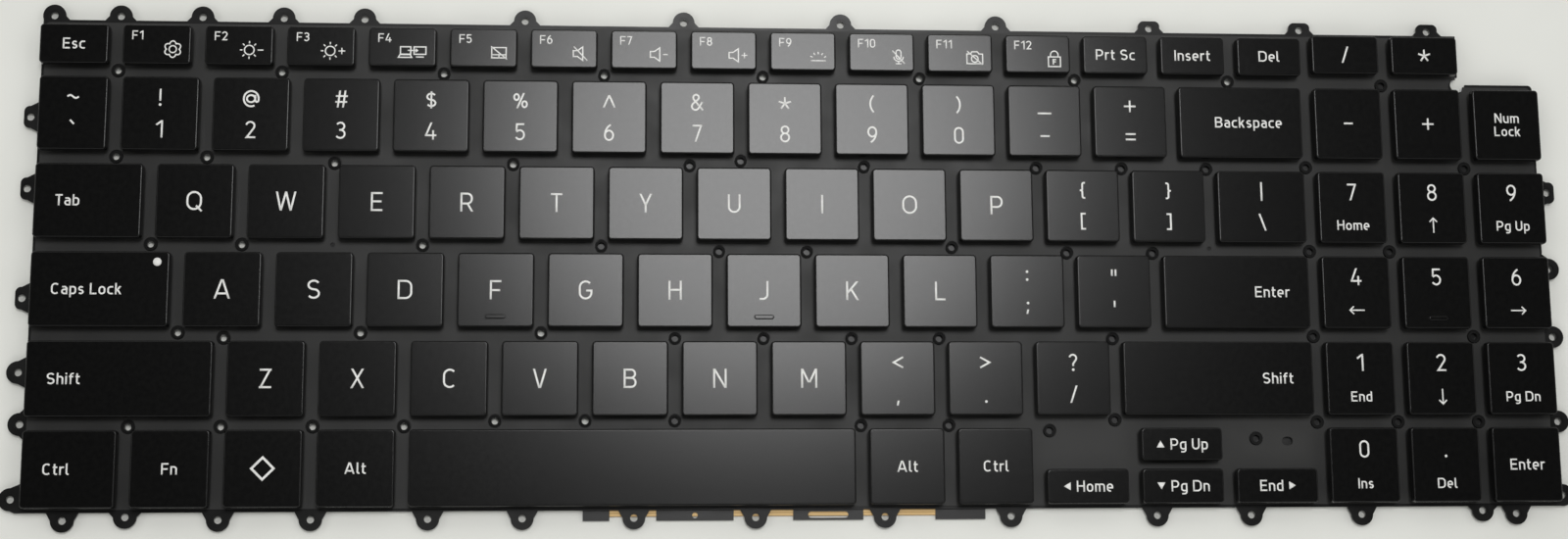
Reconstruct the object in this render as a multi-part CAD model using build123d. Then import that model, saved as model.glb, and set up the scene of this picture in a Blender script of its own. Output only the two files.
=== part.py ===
from build123d import *
import os
from collections import namedtuple
from math import atan2, degrees, hypot

# Full-size laptop keyboard module with a number pad: stamped plate, switch membrane, rubber domes,
# scissor links, stabiliser wires, backlight sheets and keycaps.
# Millimetres, X to the right, Y towards the function row, Z up, lying on its back at Z = 0.

# Key field
key_pitch = 19.05
key_gap = 3.0
key_depth = 15.88
function_depth = 8.55
function_gap = 2.85
function_overhang = 0.35
space_row_depth = 16.1
space_row_gap = 2.8
grave_width = 14.3
backspace_width = 27.55
tab_key_width = 22.25
caps_width = 28.6
shift_width = 38.15
ctrl_width = 19.1
arrow_width = 17.68
arrow_up_depth = 6.95
arrow_gap = 1.8
pad_key_width = 15.1
pad_function_rise = 0.6

# Stack of sheets, from the table up
guide_thick = 0.4
mask_thick = 0.1
plate_thick = 0.5
membrane_thick = 0.25

# Keycaps
travel = 1.25
cap_wall = 0.75
skirt_wall = 0.7
cap_draft = 0.1
cap_corner_r = 0.8
cap_edge_r = 0.35
skirt_clear = 0.1
press_clear = 0.2
homing_length = 4.3
homing_width = 1.0
homing_rise = 0.25
homing_edge_r = 0.24
homing_inset = 2.2

# Scissor links and what holds them
link_width = 1.0
link_thick = 0.66
link_length_max = 10.0
link_side_clear = 0.6
link_end_clear = 1.0
link_gap = 0.15
bar_r = 0.3
bar_clear = 0.1
pin_r = 0.2
pin_clear = 0.05
lug_width = 1.5
lug_thick = 1.4
lug_clear = 0.2
lug_wrap = 0.05
groove_clear = 0.06
hook_width = 2.4
hook_thick = 0.4
hook_lip = 0.22
hook_clear = 0.08
lance_width = 1.4
slot_clear = 0.3
two_pair_width = 60.0

# Stabiliser wires
wire_key_width = 25.0
wire_side_clear = 1.0
wire_bend_r = 0.8
wire_stub = 1.8
wire_front_inset = 1.6
wire_wall_clear = 0.25
wire_clip_inset = 3.0

# Rubber domes
dome_r_max = 3.2
dome_bar_clear = 0.2
dome_flange = 0.25
dome_foot_width = 0.6
dome_top_share = 0.55
dome_cap_clear = 0.05
plunger_clear = 0.05

# Plate outline, fixing tabs and rivet collars
left_margin = 0.8
right_margin = 0.25
top_margin = 1.75
front_margin = 0.9
step_margin = 1.2
step_drop = 1.1
step_relief_r = 1.7
plate_corner_r = 1.0
tab_r = 2.4
tab_corner_r = 1.2
tab_root_flare = 0.9
tab_root_bite = 1.5
tab_hole_r = 0.8
tab_seat_r = 1.15
tab_seat_deep = 0.1
top_tab_reach = 0.95
top_flat_end = 1.7
front_tab_reach = 1.6
near_tab_reach = 0.9
left_tab_reach = 2.1
right_tab_reach = 1.3
collar_r = 1.35
collar_hole_r = 0.75
collar_rise = 0.2
collar_shift = 0.55
collar_clear = 0.15
dimple_r = 0.5
oval_length = 2.1
oval_width = 1.6
oval_share = 0.7
arrow_collars = ((0, 1.35, 0.35), (2, 5.4, 2.15))
esc_tab_in = 1.8
multiply_tab_share = 0.65
open_left = -45.0
open_upper = 100.0

# Side tabs: row, share of its depth, how far the hole lies past the plate, flat end past it (0 if round)
left_tabs = [(1, 0.52, 1.75, 1.35), (2, 0.31, 1.75, 1.35), (3, 0.6, 1.75, 1.35), (4, 0.4, 1.75, 0),
             (4, 1.085, 0.95, 0), (5, 0.88, left_tab_reach, 0)]
right_tabs = [(2, 0.24, 1.95, 1.7), (3, 0.14, right_tab_reach, 0), (3, 1.095, right_tab_reach, 0),
              (4, 1.085, right_tab_reach, 0), (5, 0.91, right_tab_reach, 0)]

# Membrane and backlight
membrane_inset = 0.6
mask_inset = 0.4
guide_inset = 0.8
flap_reach = 2.2
flap_bite = 3.0
flap_slot_length = 8.6
flap_slot_width = 1.3
flap_hole_r = 0.6
strip_thick = 0.15
strip_deep = 6.0
strip_reach = 1.3
strip_clear = 0.3
led_length = 3.0
led_width = 0.8
led_count = 8
led_lift = 0.02

# Front edge, in shares of the space key's width: flaps of the light mask, and the strip between them
flap_spans = [(0.385, 0.445), (0.55, 0.725), (0.86, 1.02), (1.185, 1.3)]
slot_flap = 2
hole_flap = 1
strip_span = (0.445, 1.185)

Key = namedtuple("Key", "name left top width depth")


def lay_row(names, widths, left, top, depth):
    keys = []
    for name, width in zip(names, widths):
        keys.append(Key(name, left, top, width, depth))
        left += width + key_gap
    return keys


# Where the keys lie: measured from the field's upper left corner, right and towards the front
unit = key_pitch - key_gap
main_width = grave_width + key_gap + 12 * key_pitch + backspace_width
pad_left = main_width + key_gap
field_width = pad_left + 3 * pad_key_width + 2 * key_gap
row_tops = [0.0, function_depth + function_gap]
for row in range(3):
    row_tops.append(row_tops[-1] + key_depth + key_gap)
row_tops.append(row_tops[-1] + key_depth + space_row_gap)
row_depths = [function_depth, key_depth, key_depth, key_depth, key_depth, space_row_depth]
field_depth = row_tops[5] + space_row_depth


def typing_row(row, names, first_width):
    units = len(names) - 2
    last_width = main_width - first_width - key_gap - units * key_pitch
    widths = [first_width] + [unit] * units + [last_width]
    return lay_row(names, widths, 0.0, row_tops[row], row_depths[row])


def pad_row(row, names, rise=0.0):
    return lay_row(names, [pad_key_width] * len(names), pad_left, row_tops[row] - rise, row_depths[row])


function_names = ["esc"] + [f"f{number}" for number in range(1, 13)] + ["print", "insert", "delete"]
function_span = main_width + 2 * function_overhang
function_width = (function_span + key_gap) / len(function_names) - key_gap
function_row = lay_row(function_names, [function_width] * len(function_names),
                       -function_overhang, row_tops[0], function_depth)
number_row = typing_row(1, ["grave"] + list("1234567890") + ["minus", "equals", "backspace"], grave_width)
tab_row = typing_row(2, ["tab"] + list("qwertyuiop") + ["bracket_left", "bracket_right", "backslash"],
                     tab_key_width)
caps_row = typing_row(3, ["caps_lock"] + list("asdfghjkl") + ["semicolon", "quote", "enter"], caps_width)
shift_row = typing_row(4, ["shift_left"] + list("zxcvbnm") + ["comma", "period", "slash", "shift_right"],
                       shift_width)

right_side_width = 2 * key_pitch + 3 * arrow_width + 2 * key_gap
space_width = main_width - ctrl_width - 2 * key_gap - 3 * key_pitch - right_side_width
space_names = ["ctrl_left", "fn", "system", "alt_left", "space", "alt_right", "ctrl_right"]
space_widths = [ctrl_width, unit, unit, unit, space_width, unit, unit]
space_row = lay_row(space_names, space_widths, 0.0, row_tops[5], space_row_depth)

arrow_left_edge = main_width - 3 * arrow_width - 2 * key_gap
arrow_low_depth = space_row_depth - arrow_up_depth - arrow_gap
arrow_low_top = row_tops[5] + arrow_up_depth + arrow_gap
arrow_low_row = lay_row(["arrow_left", "arrow_down", "arrow_right"], [arrow_width] * 3,
                        arrow_left_edge, arrow_low_top, arrow_low_depth)
arrow_up = Key("arrow_up", arrow_low_row[1].left, row_tops[5], arrow_width, arrow_up_depth)

pad_rows = [pad_row(0, ["divide", "multiply"], pad_function_rise),
            pad_row(1, ["subtract", "add", "num_lock"]), pad_row(2, ["pad_7", "pad_8", "pad_9"]),
            pad_row(3, ["pad_4", "pad_5", "pad_6"]), pad_row(4, ["pad_1", "pad_2", "pad_3"]),
            pad_row(5, ["pad_0", "pad_point", "pad_enter"])]

moving_keys = tab_row + caps_row + shift_row + space_row + arrow_low_row + [arrow_up]
upper_keys = function_row + number_row + pad_rows[0] + pad_rows[1]
pad_keys = pad_rows[2] + pad_rows[3] + pad_rows[4] + pad_rows[5]
all_keys = moving_keys + upper_keys + pad_keys
homing_keys = ["f", "j", "pad_5"]

# The origin is the middle of the whole outline, tabs included
plate_left = -left_margin
plate_right = field_width + right_margin
plate_top = -top_margin
plate_front = field_depth + front_margin
box_left = plate_left - left_tab_reach - tab_r
box_right = plate_right + right_tab_reach + tab_r
box_top = plate_top - top_tab_reach - tab_r
box_front = plate_front + front_tab_reach + tab_r


def to_x(right):
    return right - (box_left + box_right) / 2


def to_y(down):
    return (box_top + box_front) / 2 - down


def key_middle(key):
    return to_x(key.left + key.width / 2), to_y(key.top + key.depth / 2)


# Heights
plate_low = guide_thick + mask_thick
plate_high = plate_low + plate_thick
membrane_high = plate_high + membrane_thick
bar_low = membrane_high + bar_clear + bar_r
hook_high = bar_low + bar_r + hook_clear + hook_lip
cap_under = hook_high + travel + press_clear
cap_high = cap_under + cap_wall
bar_high = cap_under - bar_clear - bar_r
skirt_low = membrane_high + collar_rise + travel + skirt_clear
collar_high = membrane_high + collar_rise

# Scissor sizes that follow from the narrowest key
narrowest = min(key.width for key in all_keys)
outer_width = narrowest - 2 * skirt_wall - 2 * link_side_clear
inner_width = outer_width - 2 * link_width - 2 * link_gap
lug_x = inner_width / 2 - link_width - lug_clear - lug_width / 2


def link_length(key):
    return min(link_length_max, key.depth - 2 * skirt_wall - 2 * link_end_clear)


def pair_places(key):
    if key.width > two_pair_width:
        return [-key.width / 4, key.width / 4]
    return [0.0]


def has_wire(key):
    return key.width > wire_key_width


def wire_half(key):
    return key.width / 2 - skirt_wall - wire_side_clear


wire_back = key_depth / 2 - skirt_wall - wire_wall_clear - bar_r
wire_front = -(key_depth / 2 - skirt_wall - wire_front_inset)


def block(x_low, x_high, y_low, y_high, z_low, z_high):
    size = (x_high - x_low, y_high - y_low, z_high - z_low)
    middle = ((x_low + x_high) / 2, (y_low + y_high) / 2, (z_low + z_high) / 2)
    return Pos(*middle) * Box(*size)


def bar_along_x(length, radius, x, y, z):
    return Pos(x, y, z) * Rot(Y=90) * Cylinder(radius, length)


def link_frame(width, length, lean):
    # Two side links and two cross bars; lean +1 is low in front, -1 is low behind
    rise = bar_high - bar_low
    middle_z = (bar_high + bar_low) / 2
    side = Rot(X=lean * degrees(atan2(rise, length))) * Box(link_width, hypot(rise, length), link_thick)
    side_x = width / 2 - link_width / 2
    frame = Pos(-side_x, 0, middle_z) * side + Pos(side_x, 0, middle_z) * side
    for end in (-1, 1):
        frame += bar_along_x(width, bar_r, 0, end * length / 2, middle_z + lean * end * rise / 2)
    return frame


def scissor_pair(length):
    middle_z = (bar_high + bar_low) / 2
    outer = link_frame(outer_width, length, 1)
    inner = link_frame(inner_width, length, -1)
    pin_in = inner_width / 2 - link_width / 2
    pin_out = outer_width / 2
    for side in (-1, 1):
        pin_x = side * (pin_in + pin_out) / 2
        inner += bar_along_x(pin_out - pin_in, pin_r, pin_x, 0, middle_z)
        outer -= bar_along_x(2 * link_width, pin_r + pin_clear, side * pin_out, 0, middle_z)
    return outer, inner


def lug(x, y, grooved):
    # A clip under the cap, open below, that snaps over a cross bar or a wire
    body = block(x - lug_width / 2, x + lug_width / 2, y - lug_thick / 2, y + lug_thick / 2,
                 bar_high - lug_wrap, cap_under + cap_wall / 2)
    if grooved:
        body -= bar_along_x(2 * lug_width, bar_r + groove_clear, x, y, bar_high)
    return body


def key_cap(key, fixed):
    # A thin-walled cap with drafted sides and a rounded top edge
    foot = RectangleRounded(key.width + 2 * cap_draft, key.depth + 2 * cap_draft, cap_corner_r + cap_draft)
    height = cap_high - skirt_low
    cap = Pos(0, 0, skirt_low) * extrude(foot, height, taper=degrees(atan2(cap_draft, height)))
    cap = fillet(cap.faces().sort_by(Axis.Z)[-1].edges(), cap_edge_r)
    room = RectangleRounded(key.width - 2 * skirt_wall, key.depth - 2 * skirt_wall,
                            max(cap_corner_r - skirt_wall / 2, cap_corner_r / 4))
    cap -= Pos(0, 0, skirt_low) * extrude(room, cap_under - skirt_low)
    length = link_length(key)
    for pair_x in pair_places(key):
        for side in (-1, 1):
            for end in (-1, 1):
                cap += lug(pair_x + side * lug_x, end * length / 2, not fixed)
        if fixed:
            for frame in scissor_pair(length):
                cap += Pos(pair_x, 0, 0) * frame
    if has_wire(key):
        for side in (-1, 1):
            clip = lug(side * (wire_half(key) - wire_clip_inset), wire_back, True)
            keep = block(-key.width / 2, key.width / 2, 0, key.depth / 2 - skirt_wall / 2, 0, cap_high)
            cap += clip & keep
    if key.name in homing_keys:
        rib = extrude(SlotOverall(homing_length, homing_width), homing_rise + cap_wall / 2)
        rib = fillet(rib.faces().sort_by(Axis.Z)[-1].edges(), homing_edge_r)
        cap += Pos(0, homing_inset - key.depth / 2, cap_under + cap_wall / 2) * rib
    return cap


def dome(key):
    # A rubber cone on a flat foot, hollow below so that its plunger clears the contact by the travel
    length = link_length(key)
    foot_r = min(dome_r_max, length / 2 - bar_r - dome_bar_clear)
    top_r = foot_r * dome_top_share
    hollow_r = foot_r - dome_foot_width
    low = membrane_high
    high = cap_under - dome_cap_clear
    plunger = low + travel - plunger_clear
    profile = Polyline((hollow_r, 0, low), (foot_r, 0, low), (foot_r, 0, low + dome_flange),
                       (top_r, 0, high), (0, 0, high), (0, 0, plunger), (hollow_r / 2, 0, plunger),
                       close=True)
    return revolve(make_face(profile), Axis.Z)


def stabiliser(key):
    half = wire_half(key)
    path = FilletPolyline((wire_stub - half, wire_front, bar_low), (-half, wire_front, bar_low),
                          (-half, wire_back, bar_high), (half, wire_back, bar_high),
                          (half, wire_front, bar_low), (half - wire_stub, wire_front, bar_low),
                          radius=wire_bend_r)
    return sweep(Plane(path @ 0, z_dir=path % 0) * Circle(bar_r), path=path)


# Every place where the plate has a hook: x, y of the bar and the side that the post stands on
Hook = namedtuple("Hook", "x y facing width")


def plate_hooks():
    hooks = []
    for key in all_keys:
        x, y = key_middle(key)
        length = link_length(key)
        for pair_x in pair_places(key):
            for end in (-1, 1):
                hooks.append(Hook(x + pair_x, y + end * length / 2, end, hook_width))
        if has_wire(key):
            for side in (-1, 1):
                stub_x = x + side * (wire_half(key) - wire_stub / 2 - bar_r)
                hooks.append(Hook(stub_x, y + wire_front, -1, wire_stub / 2))
    return hooks


def hook_shape(width):
    # An upright post with a lip over the bar, bent up from the plate
    near = bar_r + bar_clear
    far = near + hook_thick
    lip_low = hook_high - hook_lip
    profile = Polyline((0, near, plate_high), (0, far, plate_high), (0, far, hook_high),
                       (0, -bar_r, hook_high), (0, -bar_r, lip_low), (0, near, lip_low), close=True)
    return extrude(make_face(profile), width / 2, both=True)


def hook_solids(hooks):
    shapes = {width: hook_shape(width) for width in {hook.width for hook in hooks}}
    turns = {1: 0, -1: 180}
    return [Pos(hook.x, hook.y) * Rot(Z=turns[hook.facing]) * shapes[hook.width] for hook in hooks]


def hook_window(hook, length, extra_width, outward):
    near = hook.y + hook.facing * (bar_r + bar_clear + outward)
    tip = near - hook.facing * length
    return Pos(hook.x, (near + tip) / 2) * Rectangle(hook.width + extra_width, abs(near - tip))


# Gap centres between the keys of a row, by the key on the gap's left
def gap_x(keys, index):
    return to_x(keys[index].left + keys[index].width + key_gap / 2)


def band_y(row):
    return to_y((row_tops[row] + row_depths[row] + row_tops[row + 1]) / 2)


def collar_places():
    # Rivet collars sit where a gap between two keys meets the band between two rows
    rows = [function_row, number_row, tab_row, caps_row, shift_row, space_row]
    above = {0: range(0, 16, 2), 1: [0, 1, 7], 2: [0, 1, 3, 5, 9], 3: [0, 2, 4], 4: [3, 4, 5, 10]}
    below = {1: [2, 4, 6, 8, 10, 11, 12], 2: [6, 7, 10, 11], 3: [0, 5, 6, 7, 8, 10], 4: range(6)}
    pad_gaps = {0: [1], 1: [0, 2], 2: [0, 1], 3: [0, 2], 4: [0, 1, 2]}
    places = []
    for band, gaps in above.items():
        places += [(gap_x(rows[band], gap), band_y(band) + collar_shift) for gap in gaps]
    for band, gaps in below.items():
        places += [(gap_x(rows[band + 1], gap), band_y(band) - collar_shift) for gap in gaps]
    for band, gaps in pad_gaps.items():
        for gap in gaps:
            x = to_x(pad_left - key_gap / 2 + gap * (pad_key_width + key_gap))
            places.append((x, band_y(band)))
    for index, right, down in arrow_collars:
        places.append((to_x(arrow_low_row[index].left + right), to_y(row_tops[5] + down)))
    return places


def open_collars():
    # The mask covers the other collars from below
    upper = band_y(0) - key_gap
    return [(x, y) for x, y in collar_places() if x < open_left or (y > upper and x < open_upper)]


def dimple_places():
    return [(gap_x(tab_row, gap), band_y(2) + collar_shift) for gap in (2, 12)]


oval_x = to_x(arrow_low_row[2].left + oval_share * arrow_width)
oval_y = to_y(row_tops[5] + 2 * collar_r)

# Fixing tabs: the hole's place, the outward direction, the plate's edge behind it, and any flat end past it
Tab = namedtuple("Tab", "x y out_x out_y reach flat_end")


def fixing_tabs():
    tabs = []
    multiply = pad_rows[0][1]
    round_x = [to_x(function_row[0].left + esc_tab_in)]
    round_x += [gap_x(function_row, gap) for gap in (0, 1, 2, 3, 5, 7, 9, 11)]
    flat_x = [gap_x(function_row, 13), to_x(pad_left - key_gap / 2)]
    flat_x.append(to_x(multiply.left + multiply_tab_share * multiply.width))
    top_y = to_y(plate_top - top_tab_reach)
    tabs += [Tab(x, top_y, 0, 1, top_tab_reach, 0) for x in round_x]
    tabs += [Tab(x, top_y, 0, 1, top_tab_reach, top_flat_end) for x in flat_x]
    for row, share, reach, flat_end in left_tabs:
        y = to_y(row_tops[row] + share * row_depths[row])
        tabs.append(Tab(to_x(plate_left - reach), y, -1, 0, reach, flat_end))
    for row, share, reach, flat_end in right_tabs:
        y = to_y(row_tops[row] + share * row_depths[row])
        tabs.append(Tab(to_x(plate_right + reach), y, 1, 0, reach, flat_end))
    ctrl, space, alt_right, ctrl_right = space_row[0], space_row[4], space_row[5], space_row[6]
    low_pad = pad_rows[5]
    front_shares = [(ctrl, 0.41), (space, 0.04), (space, 0.25), (space, 0.5), (space, 0.775),
                    (alt_right, 0.22), (ctrl_right, 0.73), (arrow_low_row[1], 0.22),
                    (arrow_low_row[2], 0.22), (low_pad[0], 0.51), (low_pad[2], 0.4)]
    front_x = [to_x(key.left + share * key.width) for key, share in front_shares]
    front_x += [gap_x(space_row, gap) for gap in (1, 2)]
    near_x = [gap_x(space_row, 0), gap_x(low_pad, 1)]
    for reach, places in [(front_tab_reach, front_x), (near_tab_reach, near_x)]:
        tabs += [Tab(x, to_y(plate_front + reach), 0, -1, reach, 0) for x in places]
    return tabs


def tab_shape(tab):
    # A flared root, kept within the plate's corners, and a round or squarish end around the hole
    root_half = tab_r + tab_root_flare
    inner = -tab.reach - tab_root_bite
    root = Polygon((-root_half, inner), (root_half, inner), (root_half, -tab.reach), (tab_r, 0), (-tab_r, 0),
                   (-root_half, -tab.reach), align=None)
    end = Circle(tab_r)
    if tab.flat_end:
        length = tab.flat_end + tab_r
        end = Pos(0, tab.flat_end - length / 2) * RectangleRounded(2 * tab_r, length, tab_corner_r)
    turn = degrees(atan2(-tab.out_x, tab.out_y))
    wide = plate_right - plate_left + abs(tab.out_x) * 4 * left_tab_reach
    deep = plate_front - plate_top + abs(tab.out_y) * 4 * front_tab_reach
    middle = Pos(to_x((plate_left + plate_right) / 2), to_y((plate_top + plate_front) / 2))
    place = Pos(tab.x, tab.y) * Rot(Z=turn)
    return (place * root & middle * Rectangle(wide, deep)) + place * end


# The plate's outline drawn in by a margin: the step at the upper right clears the function row's end
step_right = pad_rows[0][1].left + pad_key_width + step_margin
step_top = row_tops[1] - key_gap + step_drop


def sheet_outline(inset):
    low_x, high_x = to_x(plate_left) + inset, to_x(plate_right) - inset
    low_y, step_y, high_y = to_y(plate_front) + inset, to_y(step_top) - inset, to_y(plate_top) - inset
    step_x = to_x(step_right) - inset
    outline = Polygon((low_x, low_y), (high_x, low_y), (high_x, step_y), (step_x, step_y),
                      (step_x, high_y), (low_x, high_y), align=None)
    corners = outline.vertices().sort_by(Axis.X)
    outline = fillet(corners[:2] + corners[-2:], plate_corner_r)
    return outline - Pos(step_x, step_y) * Circle(step_relief_r)


def holes_at(places, radius):
    return [Pos(x, y) * Circle(radius) for x, y in places]


def upright(sketch, low, thick):
    return Pos(0, 0, low) * extrude(sketch, thick)


def base_plate():
    tabs = fixing_tabs()
    hooks = plate_hooks()
    collars = collar_places()
    outline = sheet_outline(0)
    outline += [tab_shape(tab) for tab in tabs]
    windows = [hook_window(hook, lance_width, 0, 0) for hook in hooks]
    outline -= windows + holes_at(collars, collar_hole_r)
    outline -= holes_at([(tab.x, tab.y) for tab in tabs], tab_hole_r)
    outline -= Pos(oval_x, oval_y) * SlotOverall(oval_length, oval_width)
    plate = upright(outline, plate_low, plate_thick)
    plate -= [Pos(tab.x, tab.y, plate_high - tab_seat_deep / 2) * Cylinder(tab_seat_r, tab_seat_deep)
              for tab in tabs]
    ring = Circle(collar_r) - Circle(collar_hole_r)
    collar = upright(ring, plate_high - plate_thick / 2, collar_high - plate_high + plate_thick / 2)
    plate += [Pos(x, y) * collar for x, y in collars]
    return plate + hook_solids(hooks)


def switch_membrane():
    slots = [hook_window(hook, hook_thick + bar_clear + 2 * bar_r + 2 * slot_clear, 2 * slot_clear,
                         hook_thick + slot_clear) for hook in plate_hooks()]
    outline = sheet_outline(membrane_inset) - slots
    outline -= holes_at(collar_places(), collar_r + collar_clear) + holes_at(dimple_places(), dimple_r)
    oval = SlotOverall(oval_length + 2 * collar_clear, oval_width + 2 * collar_clear)
    outline -= Pos(oval_x, oval_y) * oval
    return upright(outline, plate_high, membrane_thick)


# Front edge: black flaps of the light mask, and the gold strip that shows between them
space_key = space_row[4]


def along_space(share):
    return to_x(space_key.left + share * space_key.width)


def light_mask():
    edge = to_y(plate_front)
    outline = sheet_outline(mask_inset)
    for low, high in flap_spans:
        flap = Rectangle(along_space(high) - along_space(low), flap_bite + flap_reach)
        outline += Pos(along_space((low + high) / 2), edge + (flap_bite - flap_reach) / 2) * flap
    slot_x = along_space(sum(flap_spans[slot_flap]) / 2)
    hole_x = along_space(sum(flap_spans[hole_flap]) / 2)
    outline -= Pos(slot_x, edge - flap_reach / 2) * SlotOverall(flap_slot_length, flap_slot_width)
    outline -= Pos(hole_x, edge - flap_reach / 2) * Circle(flap_hole_r)
    outline -= holes_at(open_collars(), collar_hole_r)
    return upright(outline, guide_thick, mask_thick)


def strip_corners(grow):
    low_y = to_y(plate_front) - strip_reach
    high_y = to_y(plate_front) + strip_deep
    return along_space(strip_span[0]) - grow, along_space(strip_span[1]) + grow, low_y, high_y + grow


def light_guide():
    low_x, high_x, low_y, high_y = strip_corners(strip_clear)
    pocket = Pos((low_x + high_x) / 2, (low_y + high_y) / 2) * Rectangle(high_x - low_x, high_y - low_y)
    outline = sheet_outline(guide_inset) - pocket - holes_at(open_collars(), collar_hole_r)
    return upright(outline, 0, guide_thick)


def backlight_strip():
    low_x, high_x, low_y, high_y = strip_corners(0)
    strip = [block(low_x, high_x, low_y, high_y, guide_thick - strip_thick, guide_thick)]
    spacing = (high_x - low_x) / led_count
    for led in range(led_count):
        x = low_x + (led + 0.5) * spacing
        strip.append(block(x - led_length / 2, x + led_length / 2, high_y - led_width, high_y,
                           led_lift, guide_thick - strip_thick))
    return Compound(children=strip)


made_shapes = {}


def made_once(kind, key, make):
    # Keys of one size share their shape
    label = (kind, round(key.width, 4), round(key.depth, 4), key.name if key.name in homing_keys else "")
    if label not in made_shapes:
        made_shapes[label] = make(key)
    return made_shapes[label]


def at_key(shape, key, shift_x=0.0):
    x, y = key_middle(key)
    return shape.moved(Location((x + shift_x, y, 0)))


def fixed_group(keys):
    caps = [at_key(made_once("fixed", key, lambda k: key_cap(k, True)), key) for key in keys]
    return Compound(children=caps)


def dome_group():
    return Compound(children=[at_key(made_once("dome", key, dome), key) for key in all_keys])


def link_group():
    links = []
    for key in moving_keys:
        pair = made_once("links", key, lambda k: scissor_pair(link_length(k)))
        for shift in pair_places(key):
            links += [at_key(frame, key, shift) for frame in pair]
    return Compound(children=links)


def wire_group():
    return Compound(children=[at_key(stabiliser(key), key) for key in all_keys if has_wire(key)])


os.makedirs("parts", exist_ok=True)
for key in moving_keys:
    cap = at_key(made_once("cap", key, lambda k: key_cap(k, False)), key)
    export_step(cap, f"parts/key_{key.name}.step")
export_step(base_plate(), "parts/base_plate.step")
export_step(switch_membrane(), "parts/switch_membrane.step")
export_step(light_mask(), "parts/light_mask.step")
export_step(light_guide(), "parts/light_guide.step")
export_step(backlight_strip(), "parts/backlight_strip.step")
export_step(dome_group(), "parts/rubber_domes.step")
export_step(link_group(), "parts/scissor_links.step")
export_step(wire_group(), "parts/stabiliser_wires.step")
export_step(fixed_group(upper_keys), "parts/upper_row_keys.step")
export_step(fixed_group(pad_keys), "parts/number_pad_keys.step")
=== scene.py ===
import math

import bpy
import numpy as np
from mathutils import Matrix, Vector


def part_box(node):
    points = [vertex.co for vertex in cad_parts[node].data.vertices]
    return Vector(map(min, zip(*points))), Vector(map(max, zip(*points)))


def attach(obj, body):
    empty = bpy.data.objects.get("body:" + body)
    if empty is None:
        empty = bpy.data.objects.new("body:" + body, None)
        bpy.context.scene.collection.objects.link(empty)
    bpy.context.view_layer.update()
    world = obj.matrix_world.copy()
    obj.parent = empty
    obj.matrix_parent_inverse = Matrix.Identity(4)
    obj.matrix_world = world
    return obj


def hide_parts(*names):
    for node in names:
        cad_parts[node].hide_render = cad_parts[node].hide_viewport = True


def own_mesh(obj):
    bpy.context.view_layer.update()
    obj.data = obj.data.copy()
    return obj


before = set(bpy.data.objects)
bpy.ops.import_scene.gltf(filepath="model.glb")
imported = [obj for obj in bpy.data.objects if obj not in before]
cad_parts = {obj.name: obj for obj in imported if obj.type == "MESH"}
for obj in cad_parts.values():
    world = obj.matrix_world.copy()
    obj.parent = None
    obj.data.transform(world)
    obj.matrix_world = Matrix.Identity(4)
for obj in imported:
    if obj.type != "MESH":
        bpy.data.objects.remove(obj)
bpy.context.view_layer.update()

mm = 0.001
print("frame loaded,", len(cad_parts), "nodes")


# Finishes: every one is a Principled shader with noise on Object coordinates

def startFinish(name, roughness, specular, metallic=0.0):
    material = bpy.data.materials.new(name)
    material.use_nodes = True
    shader = material.node_tree.nodes["Principled BSDF"]
    shader.inputs["Roughness"].default_value = roughness
    shader.inputs["Specular IOR Level"].default_value = specular
    shader.inputs["Metallic"].default_value = metallic
    return material, material.node_tree, shader


# Fractal noise between 0 and 1, with grains of the given size in metres
def noiseOf(tree, grain, detail=2.0, stretch=(1.0, 1.0, 1.0)):
    place = tree.nodes.new("ShaderNodeTexCoord")
    turn = tree.nodes.new("ShaderNodeMapping")
    turn.inputs["Scale"].default_value = stretch
    noise = tree.nodes.new("ShaderNodeTexNoise")
    noise.inputs["Scale"].default_value = 1.0 / grain
    noise.inputs["Detail"].default_value = detail
    tree.links.new(place.outputs["Object"], turn.inputs["Vector"])
    tree.links.new(turn.outputs["Vector"], noise.inputs["Vector"])
    return noise.outputs["Fac"]


# Two colours mixed by a 0 to 1 value, with the change between the stops low and high
def twoTone(tree, value, dark, light, low=0.35, high=0.65):
    ramp = tree.nodes.new("ShaderNodeValToRGB")
    ramp.color_ramp.elements[0].position = low
    ramp.color_ramp.elements[0].color = (*dark, 1.0)
    ramp.color_ramp.elements[1].position = high
    ramp.color_ramp.elements[1].color = (*light, 1.0)
    tree.links.new(value, ramp.inputs["Fac"])
    return ramp.outputs["Color"]


# A noise value, which lies mostly between fromLow and fromHigh, moved to the range low to high
def spread(tree, value, low, high, fromLow=0.3, fromHigh=0.7):
    change = tree.nodes.new("ShaderNodeMapRange")
    change.inputs["From Min"].default_value = fromLow
    change.inputs["From Max"].default_value = fromHigh
    change.inputs["To Min"].default_value = low
    change.inputs["To Max"].default_value = high
    tree.links.new(value, change.inputs["Value"])
    return change.outputs["Result"]


# 0 below a level along an axis of the piece and 1 above it, over a short step
def pastLevel(tree, axis, level, step):
    place = tree.nodes.new("ShaderNodeTexCoord")
    split = tree.nodes.new("ShaderNodeSeparateXYZ")
    past = tree.nodes.new("ShaderNodeMapRange")
    past.inputs["From Min"].default_value = level
    past.inputs["From Max"].default_value = level + step
    tree.links.new(place.outputs["Object"], split.inputs["Vector"])
    tree.links.new(split.outputs[axis], past.inputs["Value"])
    return past.outputs["Result"]


# A colour or a number that gives way to a plain one as the share goes from 0 to 1
def givingWay(tree, share, first, second):
    mix = tree.nodes.new("ShaderNodeMix")
    mix.data_type = "RGBA" if isinstance(second, tuple) else "FLOAT"
    mix.inputs["B"].default_value = (*second, 1.0) if isinstance(second, tuple) else second
    tree.links.new(share, mix.inputs["Factor"])
    tree.links.new(first, mix.inputs["A"])
    return mix.outputs["Result"]


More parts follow.
